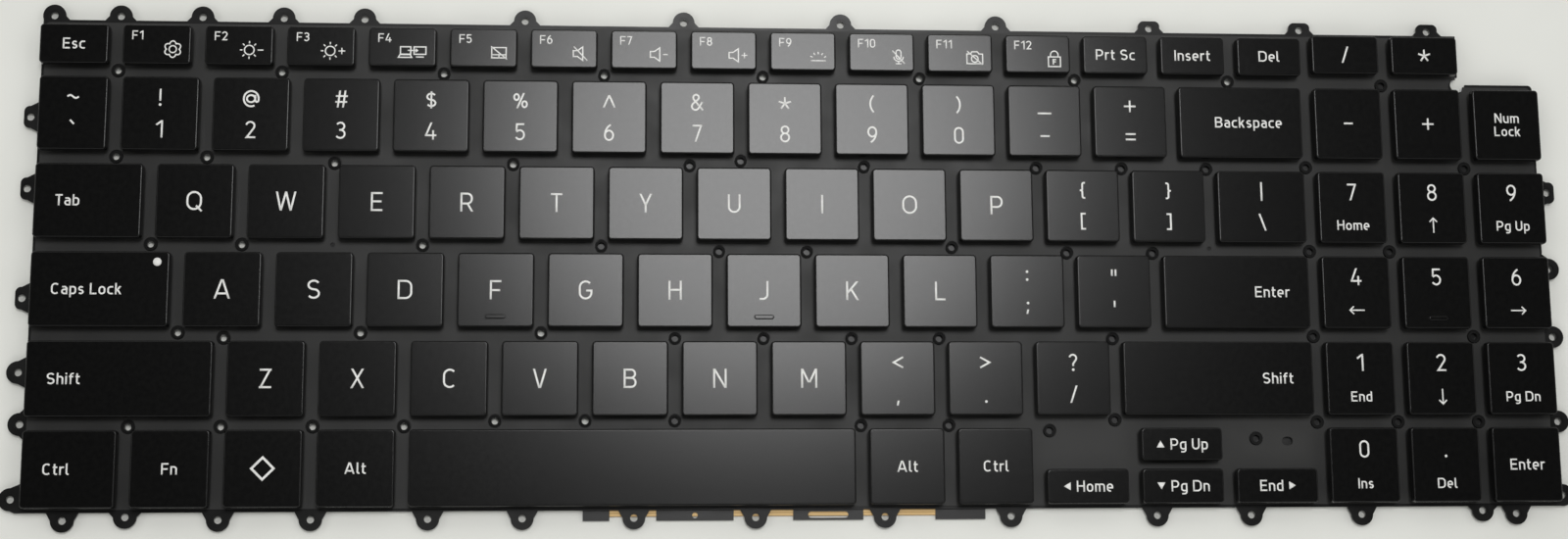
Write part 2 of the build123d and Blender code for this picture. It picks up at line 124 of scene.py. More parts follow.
def addGrain(tree, shader, value, strength, depth):
    bump = tree.nodes.new("ShaderNodeBump")
    bump.inputs["Strength"].default_value = strength
    bump.inputs["Distance"].default_value = depth
    tree.links.new(value, bump.inputs["Height"])
    tree.links.new(bump.outputs["Normal"], shader.inputs["Normal"])


# Mottled colour, mottled roughness and a fine grain: most of the finishes here. What is raised above a level may be
# painted darker, as painted shade, and made duller.
def grainyFinish(name, look):
    material, tree, shader = startFinish(name, look["roughness"][0], look["specular"], look.get("metallic", 0.0))
    patches = noiseOf(tree, look["patch"], 3.0, look.get("stretch", (1.0, 1.0, 1.0)))
    colour = twoTone(tree, patches, look["dark"], look["light"])
    roughness = spread(tree, patches, *look["roughness"])
    # Painted shade: above the level the colour gives way to a darker tone, and the roughness to a duller one
    if "paintedShadeAbove" in look:
        shadeShare = pastLevel(tree, "Z", look["paintedShadeAbove"]["level"], look["paintedShadeAbove"]["step"])
        colour = givingWay(tree, shadeShare, colour, look["paintedShadeAbove"]["tone"])
        roughness = givingWay(tree, shadeShare, roughness, look["paintedShadeAbove"]["roughness"])
    tree.links.new(colour, shader.inputs["Base Color"])
    tree.links.new(roughness, shader.inputs["Roughness"])
    addGrain(tree, shader, noiseOf(tree, look["grain"]), look["bump"], look["depth"])
    return material


finishes = {
    "keycap": {"dark": (0.0026, 0.0026, 0.0026), "light": (0.0036, 0.0036, 0.0035), "roughness": (0.205, 0.218),
               "specular": 0.30, "patch": 0.0011, "grain": 0.00022, "bump": 0.06, "depth": 0.00001},
    "plate": {"dark": (0.006, 0.006, 0.006), "light": (0.009, 0.009, 0.009), "roughness": (0.30, 0.38),
              "specular": 0.22, "patch": 0.006, "grain": 0.0003, "bump": 0.15, "depth": 0.00002,
              # The plate's raised collars get a near-black tone: painted shade that sets them dark against the
              # membrane
              "paintedShadeAbove": {"level": 0.00127, "step": 0.00003, "tone": (0.0015, 0.0015, 0.0015), "roughness": 0.7}},
    "membrane": {"dark": (0.017, 0.017, 0.0165), "light": (0.023, 0.023, 0.0222), "roughness": (0.45, 0.56),
                 "specular": 0.35, "patch": 0.009, "grain": 0.0004, "bump": 0.12, "depth": 0.00002},
    "mask": {"dark": (0.006, 0.006, 0.006), "light": (0.011, 0.011, 0.011), "roughness": (0.34, 0.44),
             "specular": 0.40, "patch": 0.008, "grain": 0.0005, "bump": 0.10, "depth": 0.00002},
    "guide": {"dark": (0.70, 0.71, 0.72), "light": (0.80, 0.81, 0.82), "roughness": (0.32, 0.42),
              "specular": 0.50, "patch": 0.012, "grain": 0.0006, "bump": 0.08, "depth": 0.00003},
    "dome": {"dark": (0.60, 0.60, 0.57), "light": (0.72, 0.72, 0.69), "roughness": (0.45, 0.58),
             "specular": 0.40, "patch": 0.002, "grain": 0.0003, "bump": 0.10, "depth": 0.00002},
    "link": {"dark": (0.020, 0.020, 0.021), "light": (0.032, 0.032, 0.033), "roughness": (0.38, 0.48),
             "specular": 0.40, "patch": 0.002, "grain": 0.00025, "bump": 0.10, "depth": 0.00002},
    "wire": {"dark": (0.50, 0.50, 0.51), "light": (0.64, 0.64, 0.66), "roughness": (0.24, 0.36),
             "specular": 0.50, "metallic": 1.0, "patch": 0.0006, "grain": 0.0002, "bump": 0.08, "depth": 0.00001,
             "stretch": (0.08, 1.0, 1.0)},
    "ink": {"dark": (0.80, 0.80, 0.78), "light": (0.86, 0.86, 0.84), "roughness": (0.45, 0.55),
            "specular": 0.30, "patch": 0.0012, "grain": 0.0002, "bump": 0.10, "depth": 0.00001},
}
materials = {name: grainyFinish(name, look) for name, look in finishes.items()}


# Amber flex: copper lines run along it, and solder mask covers it from greenFrom to its right end
flexLook = {"amber": (0.55, 0.33, 0.10), "copper": (0.74, 0.50, 0.20), "green": (0.05, 0.22, 0.08),
            "linePitch": 0.0006, "wavesPerScale": 3.2, "greenFrom": 0.0277, "greenWidth": 0.0004}


def flexFinish(look):
    material, tree, shader = startFinish("strip", 0.38, 0.5)
    place = tree.nodes.new("ShaderNodeTexCoord")
    lines = tree.nodes.new("ShaderNodeTexWave")
    lines.bands_direction = "Y"
    lines.inputs["Scale"].default_value = 1.0 / look["linePitch"] / look["wavesPerScale"]
    lines.inputs["Distortion"].default_value = 0.4
    tree.links.new(place.outputs["Object"], lines.inputs["Vector"])
    amber = twoTone(tree, lines.outputs["Fac"], look["amber"], look["copper"], 0.45, 0.6)
    past = pastLevel(tree, "X", look["greenFrom"], look["greenWidth"])
    tree.links.new(givingWay(tree, past, amber, look["green"]), shader.inputs["Base Color"])
    addGrain(tree, shader, lines.outputs["Fac"], 0.2, 0.00003)
    return material


materials["strip"] = flexFinish(flexLook)

nodeFinish = {"base_plate": "plate", "switch_membrane": "membrane", "light_mask": "mask", "light_guide": "guide",
              "backlight_strip": "strip", "rubber_domes": "dome", "scissor_links": "link", "stabiliser_wires": "wire"}
for node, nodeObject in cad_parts.items():
    for materialSlot in nodeObject.material_slots:
        materialSlot.material = materials[nodeFinish.get(node, "keycap")]
print("finishes set")


# Pieces: arrays of corner places (n by 3) and triangles (m by 3), always at the origin

def makePiece(name, points, triangles, finish, body, slot=None):
    mesh = bpy.data.meshes.new(name)
    mesh.vertices.add(len(points))
    mesh.vertices.foreach_set("co", np.asarray(points, np.float32).ravel())
    mesh.loops.add(triangles.size)
    mesh.loops.foreach_set("vertex_index", np.asarray(triangles, np.int32).ravel())
    mesh.polygons.add(len(triangles))
    mesh.polygons.foreach_set("loop_start", np.arange(0, triangles.size, 3, dtype=np.int32))
    mesh.update(calc_edges=True)
    mesh.validate()
    mesh.materials.append(materials[finish])
    piece = bpy.data.objects.new(name, mesh)
    bpy.context.scene.collection.objects.link(piece)
    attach(piece, body)
    return piece


# Several flat shapes or solids in one pair of arrays: each one's triangles count on from the one before
def joined(shapes):
    starts = np.cumsum([0] + [len(points) for points, triangles in shapes[:-1]])
    points = np.concatenate([points for points, triangles in shapes])
    triangles = np.concatenate([triangles + start for (_, triangles), start in zip(shapes, starts)])
    return points, triangles


# Key tops: the middle and size of every key, in metres

keyField = {"left": -163.2, "top": 51.31, "width": 273.45, "gap": 3.0, "functionDepth": 8.55, "functionCount": 16,
            "overhang": 0.35, "numberTop": 11.4, "rowDepth": 15.88, "unitWidth": 16.05, "firstWidth": 14.3,
            "padLeft": 276.45, "padWidth": 15.1, "padTops": (-0.6, 11.4, 30.28, 49.16, 68.04, 86.72), "padLast": 16.1,
            "rowStep": 10.0}
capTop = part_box("key_q")[1][2]
movingKeys = [node[4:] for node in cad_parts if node.startswith("key_")]


# A key's middle and size from its left and top edges, measured in from the key field's upper left corner
def topRect(left, top, width, depth):
    x = (keyField["left"] + left + width / 2) * mm
    y = (keyField["top"] - top - depth / 2) * mm
    return x, y, width * mm, depth * mm


def boxRect(node):
    low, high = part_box(node)
    return (low[0] + high[0]) / 2, (low[1] + high[1]) / 2, high[0] - low[0], high[1] - low[1]


# Fixed rows: keys of one width, a gap apart; the number row starts narrow and ends in what is left
def fixedKeyRects(field):
    rects = {}
    gap = field["gap"]
    each = (field["width"] + 2 * field["overhang"] + gap) / field["functionCount"] - gap
    functionNames = ["esc"] + [f"f{n}" for n in range(1, 13)] + ["print", "insert", "delete"]
    for n, name in enumerate(functionNames):
        rects[name] = topRect(n * (each + gap) - field["overhang"], 0.0, each, field["functionDepth"])
    rects["grave"] = topRect(0.0, field["numberTop"], field["firstWidth"], field["rowDepth"])
    left = field["firstWidth"] + gap
    for name in list("1234567890") + ["minus", "equals"]:
        rects[name] = topRect(left, field["numberTop"], field["unitWidth"], field["rowDepth"])
        left += field["unitWidth"] + gap
    rects["backspace"] = topRect(left, field["numberTop"], field["width"] - left, field["rowDepth"])
    padNames = [["divide", "multiply"], ["subtract", "add", "num_lock"], ["pad_7", "pad_8", "pad_9"],
                ["pad_4", "pad_5", "pad_6"], ["pad_1", "pad_2", "pad_3"], ["pad_0", "pad_point", "pad_enter"]]
    padDepths = [field["functionDepth"]] + [field["rowDepth"]] * 4 + [field["padLast"]]
    for names, top, depth in zip(padNames, field["padTops"], padDepths):
        for n, name in enumerate(names):
            rects[name] = topRect(field["padLeft"] + n * (field["padWidth"] + gap), top, field["padWidth"], depth)
    return rects


keyRects = fixedKeyRects(keyField)
upperKeys = [name for name in keyRects if keyRects[name][1] > keyRects["pad_7"][1] + keyField["rowStep"] * mm]
keyRects.update({name: boxRect("key_" + name) for name in movingKeys})


# Lettering on the key tops. Sizes and margins in millimetres; heights are those of a capital letter.
legends = {
    "letter": (4.1, 0.43, 1.0), "pair": (3.75, 0.40, 1.0), "word": (2.4, 0.33, 1.06), "padWord": (2.2, 0.31, 1.06),
    "functionWord": (1.95, 0.26, 1.05), "lockLetter": (1.25, 0.28, 1.1), "letterGap": 0.15,
    "thickness": 0.02, "sunk": 0.01, "layering": 0.02, "dotShare": 0.75, "mitreLimit": 0.35,
    "pairRise": 3.4, "pairDrop": -3.45, "padRise": 3.4, "padDrop": -4.0, "lockDrop": 0.65,
    "sideMargin": 4.55, "stackStep": 1.5, "functionMargin": 1.95, "functionRise": 1.95, "iconDrop": -1.1,
    "iconMargin": 2.0, "iconStroke": 0.27, "arrowStroke": 0.30, "arrowLength": 3.3, "arrowHead": 0.85,
    "pointerSize": 1.75, "pointerShare": 0.85, "pointerGap": 1.3, "dotSize": 0.88, "dotInset": (2.65, 2.3),
    "systemSize": 2.3, "systemStroke": 0.5,
}


# Triangles that run clockwise are turned round, and empty ones dropped
def upright(points, triangles):
    a, b, c = (points[triangles[:, n]] for n in range(3))
    area = (b[:, 0] - a[:, 0]) * (c[:, 1] - a[:, 1]) - (b[:, 1] - a[:, 1]) * (c[:, 0] - a[:, 0])
    turned = np.where(area[:, None] < 0, triangles[:, ::-1], triangles)
    return points, turned[np.abs(area) > 1e-12]


# The same triangles on points moved by x and y
def shifted(shape, x, y):
    return shape[0] + (x, y), shape[1]


# A ribbon of even width along a path: each point moves half the width both ways along the mitred normal
def ribbon(path, width, closed=False):
    path = np.asarray(path, float)
    if closed:
        ahead, behind = np.roll(path, -1, 0) - path, path - np.roll(path, 1, 0)
    else:
        steps = np.diff(path, axis=0)
        ahead, behind = np.vstack([steps, steps[-1:]]), np.vstack([steps[:1], steps])
    ahead /= np.linalg.norm(ahead, axis=1)[:, None]
    behind /= np.linalg.norm(behind, axis=1)[:, None]
    along = ahead + behind
    along /= np.linalg.norm(along, axis=1)[:, None]
    across = np.stack([-along[:, 1], along[:, 0]], 1)
    mitre = 1.0 / np.clip((along * ahead).sum(1), legends["mitreLimit"], 1.0)
    reach = across * (mitre * width / 2)[:, None]
    count = len(path)
    points = np.vstack([path + reach, path - reach])
    first = np.arange(count if closed else count - 1)
    after = (first + 1) % count
    triangles = np.vstack([np.stack([first, first + count, after + count], 1),
                           np.stack([first, after + count, after], 1)])
    return points, triangles


# A filled convex outline: a fan round its middle
def filled(outline):
    outline = np.asarray(outline, float)
    rim = np.arange(len(outline))
    points = np.vstack([outline, outline.mean(0)])
    return points, np.stack([rim, np.roll(rim, -1), np.full(len(rim), len(rim))], 1)


# Points on an oval round (x, y), at even steps of the angle: cosine times the width, sine times the height
def arc(x, y, wide, high, start, end, count=13):
    angle = np.radians(np.linspace(start, end, count))
    return np.stack([x + wide * np.cos(angle), y + high * np.sin(angle)], 1)


def roundArc(x, y, radius, start, end, count=13):
    return arc(x, y, radius, radius, start, end, count)


# A closed oval and a closed circle: evenly turned points, the last one a step short of the first
def oval(x, y, wide, high):
    return arc(x, y, wide, high, 0, 345, 24)


def circlePath(x, y, radius, count=28):
    return roundArc(x, y, radius, 0.0, 360.0, count + 1)[:-1]


# A scalloped circle: round lobes with sharp dips between them, as the size of a cosine gives, with a lobe at the top
def scallopPath(x, y, radius, swell, times):
    angle = np.linspace(0.0, 2 * np.pi, 12 * times, endpoint=False)
    reach = radius - swell + 2 * swell * np.abs(np.cos(times / 2 * (angle - np.pi / 2)))
    return np.stack([x + reach * np.cos(angle), y + reach * np.sin(angle)], 1)


# Straight strokes from an inner to an outer radius, evenly between two angles
def rayPaths(x, y, inner, outer, angles):
    ways = [np.array([math.cos(math.radians(a)), math.sin(math.radians(a))]) for a in angles]
    return [np.array([(x, y) + way * inner, (x, y) + way * outer]) for way in ways]


# Lettering of one even stroke, from lines and arcs. A capital is one unit high, and h is half the stroke.

# Parts of a path in one, without doubled points
def run(*parts):
    path = np.vstack([np.atleast_2d(part) for part in parts])
    apart = np.abs(np.diff(path, axis=0)).max(1) > 1e-4
    return path[np.append(True, apart)]


# A ring with straight sides: half circles of the given radius at the top and the bottom
def ring(x, low, high, radius):
    return run(roundArc(x, high - radius, radius, 0, 180), roundArc(x, low + radius, radius, 180, 360))


# An oval cut short at both ends, from one angle over the top and round to another under the bottom
def openRing(x, low, high, radius, start, end):
    return run(roundArc(x, high - radius, radius, start, 180), roundArc(x, low + radius, radius, 180, end))


# An s: the upper oval runs back and down into the lower one
def sPath(x, low, high, wide):
    tall = (high - low) / 4
    return run(arc(x, high - tall, wide, tall, 30, 270), arc(x, low + tall, wide, tall, 90, -150)[1:])


# A bowl from a stem on its left: out along the top, round and back along the bottom
def bowl(stem, right, low, high, radius):
    radius = min(radius, (high - low) / 2)
    return run((stem, high), roundArc(right - radius, high - radius, radius, 90, 0),
               roundArc(right - radius, low + radius, radius, 0, -90), (stem, low))


# The mirror image of a path in a letter of this width: x becomes the width less x
def flipped(path, width):
    return np.asarray(path, float) * (-1, 1) + (width, 0)


# Glyphs: each sign's width and strokes. Lines and loops are paths, slants are leaning strokes, dots are middles.
def capitalGlyphs(h):
    low, high = h, 1 - h
    stem = [(h, 0), (h, 1)]
    lean = 1.08 * h
    ovalO, ovalG, ovalC = 0.395 - h, 0.355 - h, 0.345 - h
    return {
        "A": (0.84, {"slants": [((lean, 0), (0.42 - h / 3, 1)), ((0.84 - lean, 0), (0.42 + h / 3, 1))],
                     "lines": [[(0.15, 0.27), (0.69, 0.27)]]}),
        "B": (0.67, {"lines": [stem, bowl(h, 0.67 - h, low, 0.52, 0.23), bowl(h, 0.64 - h, 0.52, high, 0.21)]}),
        "C": (0.68, {"lines": [openRing(0.345, low, high, ovalC, 42, 318)]}),
        "D": (0.75, {"lines": [stem, bowl(h, 0.75 - h, low, high, 0.29)]}),
        "E": (0.60, {"lines": [stem, [(h, low), (0.60, low)], [(h, 0.51), (0.55, 0.51)], [(h, high), (0.60, high)]]}),
        "F": (0.59, {"lines": [stem, [(h, 0.48), (0.53, 0.48)], [(h, high), (0.59, high)]]}),
        "G": (0.71, {"lines": [run(openRing(0.355, low, high, ovalG, 42, 360), (0.71 - h, 0.47), (0.38, 0.47))]}),
        "H": (0.69, {"lines": [stem, [(0.69 - h, 0), (0.69 - h, 1)], [(h, 0.52), (0.69 - h, 0.52)]]}),
        "I": (2 * h, {"lines": [stem]}),
        "J": (0.46, {"lines": [run((0.46 - h, 1), roundArc(0.46 - h - 0.24, low + 0.24, 0.24, 0, -90), (0, low))]}),
        "K": (0.67, {"lines": [stem],
                     "slants": [((h, 0.36), (0.65 - lean, 1)), ((0.67 - lean, 0), (0.25, 0.60))]}),
        "L": (0.55, {"lines": [stem, [(h, low), (0.55, low)]]}),
        "M": (0.84, {"lines": [stem, [(0.84 - h, 0), (0.84 - h, 1)]],
                     "slants": [((0.42 - h / 3, 0.28), (lean, 1)), ((0.42 + h / 3, 0.28), (0.84 - lean, 1))]}),
        "N": (0.70, {"lines": [stem, [(0.70 - h, 0), (0.70 - h, 1)]], "slants": [((0.70 - lean, 0), (lean, 1))]}),
        "O": (0.79, {"loops": [ring(0.395, low, high, ovalO)]}),
        "P": (0.66, {"lines": [stem, bowl(h, 0.66 - h, 0.40, high, 0.25)]}),
        "Q": (0.80, {"loops": [ring(0.395, low, high, ovalO)], "lines": [[(0.50, 0.24), (0.79, -0.06)]]}),
        "R": (0.67, {"lines": [stem, bowl(h, 0.64 - h, 0.42, high, 0.24)],
                     "slants": [((0.67 - lean, 0), (0.36, 0.44))]}),
        "S": (0.65, {"lines": [sPath(0.325, low, high, 0.325 - h)]}),
        "T": (0.60, {"lines": [[(0, high), (0.60, high)], [(0.30, 0), (0.30, high)]]}),
        "U": (0.67, {"lines": [run((h, 1), roundArc(0.335, low + 0.335 - h, 0.335 - h, 180, 360), (0.67 - h, 1))]}),
        "V": (0.72, {"slants": [((0.36 - h / 3, 0), (lean, 1)), ((0.36 + h / 3, 0), (0.72 - lean, 1))]}),
        "W": (1.06, {"slants": [((0.28, 0), (lean, 1)), ((0.28, 0), (0.53, 1)), ((0.78, 0), (0.53, 1)),
                                ((0.78, 0), (1.06 - lean, 1))]}),
        "X": (0.70, {"slants": [((lean, 0), (0.68 - lean, 1)), ((0.70 - lean, 0), (0.02 + lean, 1))]}),
        "Y": (0.67, {"slants": [((0.335, 0.40), (lean, 1)), ((0.335, 0.40), (0.67 - lean, 1))],
                     "lines": [[(0.335, 0), (0.335, 0.45)]]}),
        "Z": (0.62, {"lines": [[(0, low), (0.62, low)], [(0.02, high), (0.62, high)]],
                     "slants": [((lean, 0), (0.62 - lean, 1))]}),
    }


def smallGlyphs(h):
    low, high, bar = h, 0.73 - h, 0.73
    tall, short = [(h, 0), (h, 1)], [(h, 0), (h, bar)]
    mid = 0.19
    arch = run((h, high), roundArc(0.54 - h - mid, high - mid, mid, 90, 0), (0.54 - h, 0))
    bulge = 0.28 - h
    return {
        "a": (0.51, {"lines": [run((0.06, high), roundArc(0.51 - h - mid, high - mid, mid, 90, 0), (0.51 - h, 0)),
                               run((0.51 - h, 0.43), roundArc(h + 0.17, 0.26, 0.17, 90, 180),
                                   roundArc(h + 0.17, low + 0.17, 0.17, 180, 270), (0.51 - h, low))]}),
        "b": (0.55, {"lines": [tall, bowl(h, 0.55 - h, low, high, mid)]}),
        "c": (0.47, {"lines": [run((0.47, high), roundArc(h + 0.21, high - 0.21, 0.21, 90, 180),
                                   roundArc(h + 0.21, low + 0.21, 0.21, 180, 270), (0.47, low))]}),
        "d": (0.55, {"lines": [[(0.55 - h, 0), (0.55 - h, 1)], flipped(bowl(h, 0.55 - h, low, high, mid), 0.55)]}),
        "e": (0.55, {"lines": [run((h, 0.35), (0.55 - h, 0.35), arc(0.275, high - 0.20, 0.275 - h, 0.20, 0, 180),
                                   arc(0.275, low + 0.22, 0.275 - h, 0.22, 180, 290))]}),
        "f": (0.37, {"lines": [run((0.14, 0), roundArc(0.14 + 0.17, 1 - h - 0.17, 0.17, 180, 90), (0.38, 1 - h)),
                               [(0, high), (0.35, high)]]}),
        "g": (0.55, {"lines": [flipped(bowl(h, 0.55 - h, low, high, mid), 0.55),
                               run((0.55 - h, bar), roundArc(0.55 - h - mid, h + mid - 0.27, mid, 0, -90),
                                   (0.08, h - 0.27))]}),
        "h": (0.54, {"lines": [tall, arch]}),
        "i": (2 * h, {"lines": [short, [(h, 0.86), (h, 1)]]}),
        "k": (0.52, {"lines": [tall], "slants": [((h, 0.24), (0.50 - h, bar)), ((0.52 - h, 0), (0.21, 0.44))]}),
        "l": (0.24, {"lines": [run((h, 1), roundArc(h + 0.13, low + 0.13, 0.13, 180, 270), (0.25, low))]}),
        "m": (0.85, {"lines": [short,
                               run((h, high), roundArc(0.46 - h - 0.14, high - 0.14, 0.14, 90, 0), (0.46 - h, 0)),
                               run((0.46 - h, high), roundArc(0.85 - h - 0.16, high - 0.16, 0.16, 90, 0),
                                   (0.85 - h, 0))]}),
        "n": (0.54, {"lines": [short, arch]}),
        "o": (0.56, {"loops": [ring(0.28, low, high, bulge)]}),
        "p": (0.55, {"lines": [[(h, -0.27), (h, bar)], bowl(h, 0.55 - h, low, high, mid)]}),
        "r": (0.36, {"lines": [short, run(roundArc(h + 0.2, high - 0.2, 0.2, 180, 90), (0.37, high))]}),
        "s": (0.46, {"lines": [sPath(0.23, low, high, 0.23 - h)]}),
        "t": (0.36, {"lines": [run((0.13, 0.95), roundArc(0.13 + 0.15, low + 0.15, 0.15, 180, 270), (0.36, low)),
                               [(0, high), (0.35, high)]]}),
        "u": (0.54, {"lines": [[(0.54 - h, 0), (0.54 - h, bar)],
                               run((h, bar), roundArc(h + mid, low + mid, mid, 180, 270), (0.54 - h, low))]}),
        " ": (0.18, {}),
    }


def digitGlyphs(h):
    low, high = h, 1 - h
    lean, wide = 1.08 * h, 0.29 - h
    six = {"loops": [oval(0.29, low + 0.28, wide, 0.28)],
           "lines": [arc(0.62, low + 0.28, 0.62 - h, 0.68, 180, 114)]}
    return {
        "0": (0.58, {"loops": [ring(0.29, low, high, wide)]}),
        "1": (0.40, {"lines": [[(0.40 - h, 0), (0.40 - h, 1)], [(0.03, 0.73), (0.40 - h, 1 - 0.6 * h)]]}),
        "2": (0.58, {"lines": [run(roundArc(0.28, high - 0.235, 0.235, 165, -38), (1.7 * h, low), (0.58, low))]}),
        "3": (0.57, {"lines": [run(arc(0.27, high - 0.21, 0.22, 0.21, 150, -90), (0.2, high - 0.42)),
                               run((0.2, low + 0.47), arc(0.27, low + 0.235, 0.30 - h, 0.235, 90, -150))]}),
        "4": (0.65, {"slants": [((h, 0.25), (0.36, 1))],
                     "lines": [[(0, 0.25), (0.65, 0.25)], [(0.46, 0), (0.46, 0.55)]]}),
        "5": (0.57, {"lines": [run((0.53, high), (0.10, high), (0.08, 0.53)),
                               run((0.08, 0.50), arc(0.27, low + 0.27, 0.30 - h, 0.27, 105, -150))]}),
        "6": (0.58, six),
        "7": (0.55, {"lines": [[(0, high), (0.55, high)]], "slants": [((0.17, 0), (0.55 - lean, 1 - h))]}),
        "8": (0.58, {"loops": [oval(0.29, high - 0.205, wide - 0.03, 0.205), oval(0.29, low + 0.24, wide, 0.24)]}),
        "9": (0.58, {kind: [(0.58, 1) - np.asarray(path) for path in paths] for kind, paths in six.items()}),
    }


def signGlyphs(h):
    low, high = h, 1 - h
    wave = np.linspace(0, 1, 21)
    dot = 1.5 * h
    brace = [run((0.34, high), roundArc(0.27, high - 0.10, 0.10, 90, 180),
                 roundArc(0.07, 0.60, 0.10, 0, -90), (0.02, 0.5)),
             run((0.34, low), roundArc(0.27, low + 0.10, 0.10, 270, 180),
                 roundArc(0.07, 0.40, 0.10, 0, 90), (0.02, 0.5))]
    bend = arc(0.68, 0.5, 0.68 - h, 0.68, 133, 227)
    hook = [(0.30, high), (h, high), (h, low), (0.30, low)]
    chevron = [(0.60, 0.80), (0.05, 0.5), (0.60, 0.20)]
    return {
        "~": (0.64, {"lines": [np.stack([0.64 * wave, 0.5 + 0.085 * np.sin(2 * np.pi * wave)], 1)]}),
        "`": (0.28, {"lines": [[(0.02, 0.98), (0.25, 0.74)]]}),
        "!": (2 * dot, {"lines": [[(dot, 0.30), (dot, 1)]], "dots": [(dot, dot)]}),
        "@": (0.95, {"lines": [run(arc(0.48, 0.47, 0.47 - h, 0.50 - h, -62, -360, 30),
                                   arc(0.80, 0.42, 0.15 - h, 0.14, 0, -180)),
                               [(0.65 + h, 0.69), (0.65 + h, 0.42)]],
                     "loops": [oval(0.47, 0.47, 0.18 + h, 0.26 - h)]}),
        "#": (0.74, {"lines": [[(0.02, 0.33), (0.69, 0.33)], [(0.05, 0.67), (0.72, 0.67)]],
                     "slants": [((0.16, 0), (0.28, 1)), ((0.46, 0), (0.58, 1))]}),
        "$": (0.58, {"lines": [sPath(0.29, 0.13, 0.87, 0.29 - h), [(0.29, 0), (0.29, 1)]]}),
        "%": (0.86, {"loops": [oval(0.20, 0.71, 0.19 - h, 0.23 - h), oval(0.66, 0.29, 0.19 - h, 0.23 - h)],
                     "slants": [((0.24, 0.05), (0.62, 0.95))]}),
        "^": (0.74, {"slants": [((h, 0.14), (0.37, 0.88)), ((0.74 - h, 0.14), (0.37, 0.88))]}),
        "&": (0.70, {"lines": [run((0.70, 0.03), (0.16, 0.67), roundArc(0.30, 0.785, 0.165, 200, -40), (0.17, 0.46),
                                   arc(0.265, 0.255, 0.21, 0.205, 125, 325), (0.66, 0.52))]}),
        "*": (0.76, {"lines": rayPaths(0.38, 0.48, 0, 0.38, (90, 162, 234, 306, 378))}),
        "(": (0.25, {"lines": [bend]}), ")": (0.25, {"lines": [flipped(bend, 0.25)]}),
        "+": (0.70, {"lines": [[(0, 0.5), (0.70, 0.5)], [(0.35, 0.15), (0.35, 0.85)]]}),
        "=": (0.60, {"lines": [[(0, 0.34), (0.60, 0.34)], [(0, 0.66), (0.60, 0.66)]]}),
        "-": (0.55, {"lines": [[(0, 0.5), (0.55, 0.5)]]}), "_": (0.82, {"lines": [[(0, 0.03), (0.82, 0.03)]]}),
        "{": (0.34, {"lines": brace}), "}": (0.34, {"lines": [flipped(path, 0.34) for path in brace]}),
        "[": (0.30, {"lines": [hook]}), "]": (0.30, {"lines": [flipped(hook, 0.30)]}),
        "|": (2 * h, {"lines": [[(h, -0.06), (h, 1.06)]]}),
        "\\": (0.46, {"slants": [((0.45 - h, 0), (h, 1))]}), "/": (0.46, {"slants": [((h, 0), (0.45 - h, 1))]}),
        ":": (2 * dot, {"dots": [(dot, 0.27), (dot, 0.73)]}),
        ";": (2 * dot, {"dots": [(dot, 0.73)], "slants": [((0.02, 0.10), (dot, 0.36))]}),
        "\"": (0.32, {"lines": [[(h, 0.5), (h, 0.88)], [(0.32 - h, 0.5), (0.32 - h, 0.88)]]}),
        "'": (2 * h, {"lines": [[(h, 0.5), (h, 0.88)]]}),
        "<": (0.62, {"lines": [chevron]}), ">": (0.62, {"lines": [flipped(chevron, 0.62)]}),
        ",": (2 * dot, {"slants": [((0.02, -0.14), (dot, 0.14))]}), ".": (2 * dot, {"dots": [(dot, dot)]}),
        "?": (0.50, {"lines": [run(roundArc(0.24, high - 0.20, 0.20, 165, -50), (0.25, 0.42), (0.25, 0.29))],
                     "dots": [(0.25, dot)]}),
    }


glyphSets = {}


def glyphsFor(stroke):
    if stroke not in glyphSets:
        h = stroke / 2
        glyphSets[stroke] = {**capitalGlyphs(h), **smallGlyphs(h), **digitGlyphs(h), **signGlyphs(h)}
    return glyphSets[stroke]


# A leaning stroke cut off level: its sides lie half the stroke from its line, measured square to it
def slant(ends, stroke):
    (x, y), (farX, farY) = ends
    half = stroke / 2 * math.hypot(farX - x, farY - y) / abs(farY - y)
    return filled([(x - half, y), (x + half, y), (farX + half, farY), (farX - half, farY)])


# The strokes of a glyph as flat shapes of one stroke width
def glyphShapes(strokes, stroke):
    shapes = [ribbon(path, stroke) for path in strokes.get("lines", [])]
    shapes += [ribbon(path, stroke, True) for path in strokes.get("loops", [])]
    shapes += [slant(ends, stroke) for ends in strokes.get("slants", [])]
    return shapes + [filled(circlePath(x, y, legends["dotShare"] * stroke)) for x, y in strokes.get("dots", [])]


# Words as flat points and triangles on the baseline; a size is a capital's height, the stroke, and a widening
def lettering(words, size):
    height, stroke, wide = size
    ratio = round(stroke / height, 4)
    shapes, left = [], 0.0
    for letter in words:
        width, strokes = glyphsFor(ratio)[letter]
        shapes += [shifted(shape, left, 0) for shape in glyphShapes(strokes, ratio)]
        left += width + legends["letterGap"]
    points, triangles = joined(shapes)
    return upright(points * (height * wide, height), triangles)


# Letters set at a spot: their ends or middle at x, and the middle of a capital at y
def setWords(words, size, x, y, align="middle"):
    points, triangles = lettering(words, size)
    low, high = points[:, 0].min(), points[:, 0].max()
    start = {"left": low, "middle": (low + high) / 2, "right": high}[align]
    return shifted((points, triangles), x - start, y - size[0] / 2)


